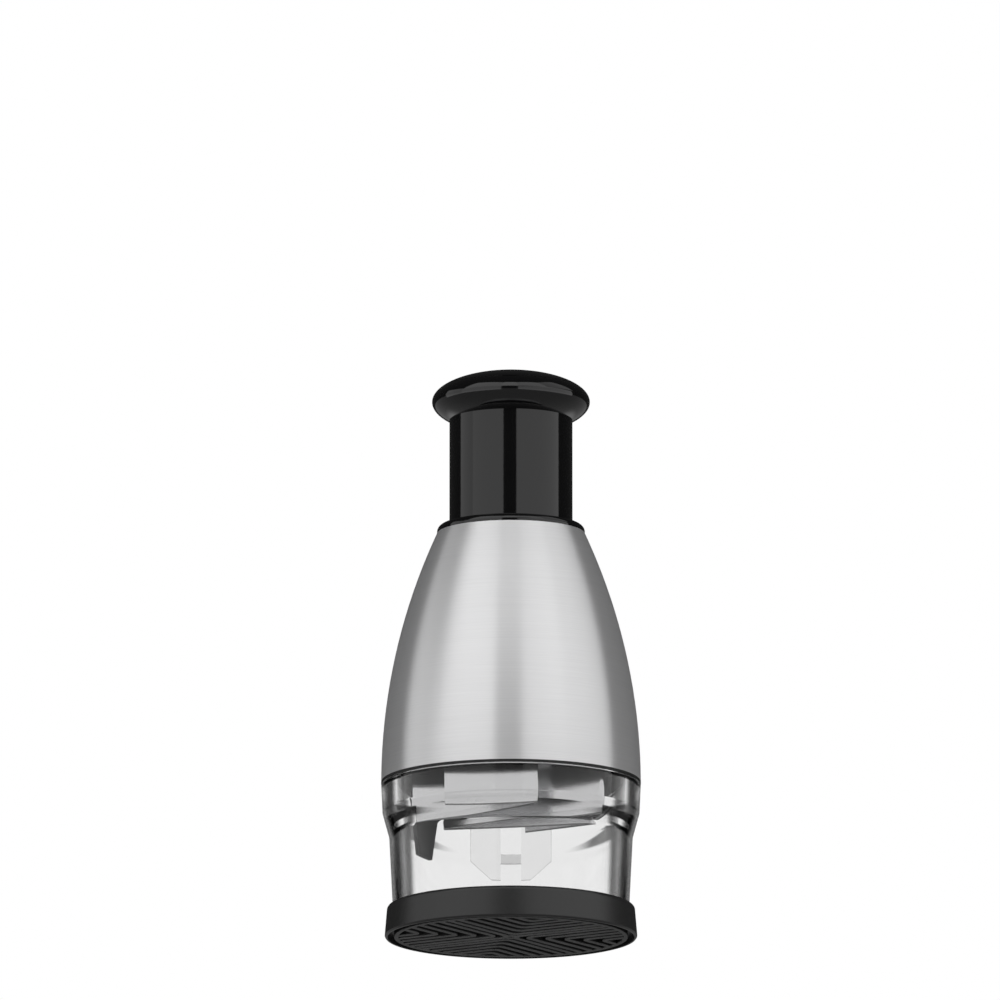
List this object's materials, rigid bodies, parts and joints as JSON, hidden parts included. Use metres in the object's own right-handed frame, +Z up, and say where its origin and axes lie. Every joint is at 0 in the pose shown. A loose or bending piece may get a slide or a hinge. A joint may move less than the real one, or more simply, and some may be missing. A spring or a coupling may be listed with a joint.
{
  "type": "food chopper",
  "caption": "Push-down food chopper: knob and plunger in a steel bell, turning zigzag blade, slotted wiper, clear open cup and a ridged base with a chopping board.",
  "frame": {"origin": "middle of the base's underside, on the surface it stands on", "axes": "+Z up along the plunger's axis, -Y towards the front, +X to the right"},
  "size_m": [0.0922, 0.0922, 0.2041],
  "materials": {
    "base_plastic": "fine satin moulding",
    "tread_rubber": "matte ridged rubber",
    "clear_plastic": "clear polished moulding",
    "black_plastic": "gloss black moulding",
    "brushed_steel": "fine circumferential brushing",
    "liner_plastic": "satin black moulding",
    "blade_steel": "bright rolled sheet with a ground bevel",
    "fastener_steel": "turned steel",
    "spring_steel": "drawn wire",
    "pale_plastic": "natural acetal",
    "stop_rubber": "soft rubber"
  },
  "bodies": {
    "base": {"base_body": "base_plastic", "tread_pad": "tread_rubber"},
    "cup": {"cup": "clear_plastic"},
    "wiper_ring": {"wiper_ring": "black_plastic"},
    "wiper_plate": {"wiper_plate": "black_plastic"},
    "housing": {"steel_shell": "brushed_steel", "liner": "liner_plastic", "top_collar": "black_plastic", "spindle_bush": "pale_plastic", "spring_seat": "fastener_steel", "index_crown": "pale_plastic", "stop_bumper": "stop_rubber", "return_spring": "spring_steel"},
    "plunger": {"plunger_sleeve": "black_plastic", "knob_cap": "black_plastic"},
    "blade_rotor": {"spindle": "fastener_steel", "spindle_washer": "fastener_steel", "spindle_screw": "fastener_steel", "index_follower": "pale_plastic", "blade_carrier": "liner_plastic", "zigzag_blade": "blade_steel", "carrier_screw": "fastener_steel"}
  },
  "joints": [
    {"name": "cup_lift", "type": "slide", "parent": "base", "child": "cup", "axis": [0, 0, 1], "range_m": [0, 0.0352]},
    {"name": "wiper_lift", "type": "slide", "parent": "cup", "child": "wiper_ring", "axis": [0, 0, 1], "range_m": [0, 0.0415]},
    {"name": "head_lift", "type": "slide", "parent": "wiper_ring", "child": "housing", "axis": [0, 0, 1], "range_m": [0, 0.0528]},
    {"name": "press", "type": "slide", "parent": "housing", "child": "plunger", "axis": [0, 0, 1], "range_m": [-0.035, 0], "stiffness_N_per_m": 500, "springref_m": 0.02, "deforming": ["return_spring"]},
    {"name": "blade_index", "type": "hinge", "parent": "plunger", "child": "blade_rotor", "pos_m": [0, 0, 0.1], "axis": [0, 0, 1], "continuous": true},
    {"name": "wiper_index", "type": "hinge", "parent": "wiper_ring", "child": "wiper_plate", "pos_m": [0, 0, 0.06], "axis": [0, 0, 1], "continuous": true}
  ],
  "couplings": [
    {"joint": "wiper_index", "follows": "blade_index", "ratio": 1}
  ]
}
